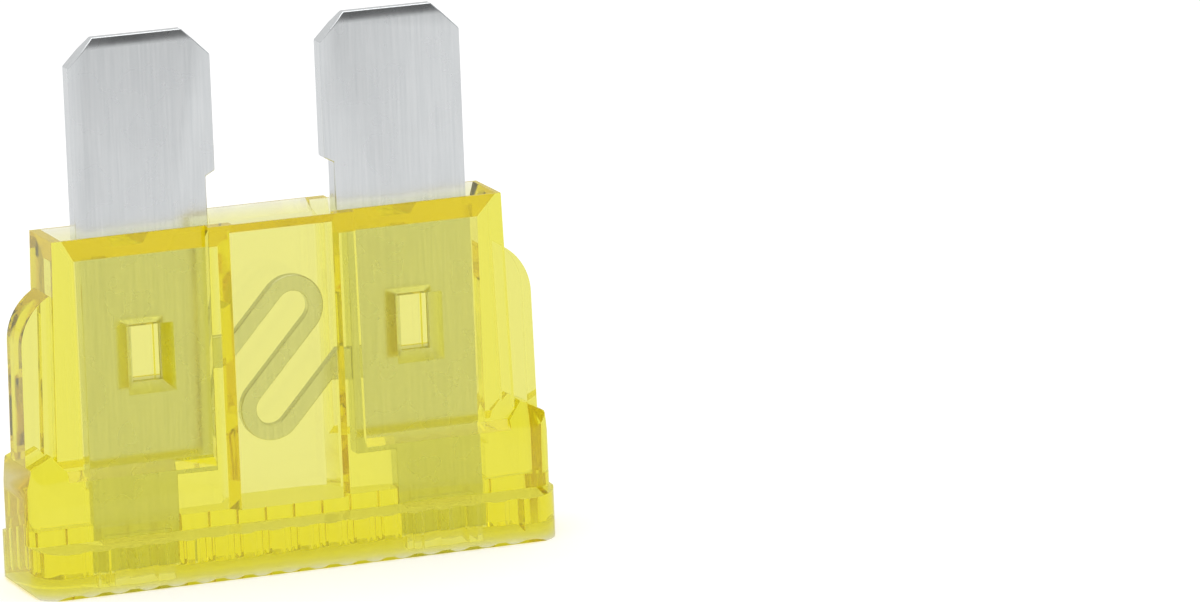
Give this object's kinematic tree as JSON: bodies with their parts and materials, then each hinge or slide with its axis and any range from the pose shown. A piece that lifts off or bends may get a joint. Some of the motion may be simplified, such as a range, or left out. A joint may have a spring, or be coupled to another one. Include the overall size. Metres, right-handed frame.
{
  "type": "automotive blade fuse",
  "caption": "Plug-in automotive fuse with a transparent yellow housing around a stamped element whose blades push into spring terminals and whose S-shaped link melts on overload.",
  "frame": {"origin": "middle of the head end, in the plane that the fuse stands on with its blades up", "axes": "+X along the width to the right blade, -Y towards the front, +Z from the head end to the blade tips"},
  "size_m": [0.019, 0.0052, 0.0189],
  "materials": {
    "yellow_plastic": "clear, glossy moulding with a yellow tint",
    "zinc": "satin, rolled grain along the blades"
  },
  "bodies": {
    "root": {"housing": "yellow_plastic", "fuse_element": "zinc"}
  },
  "joints": []
}
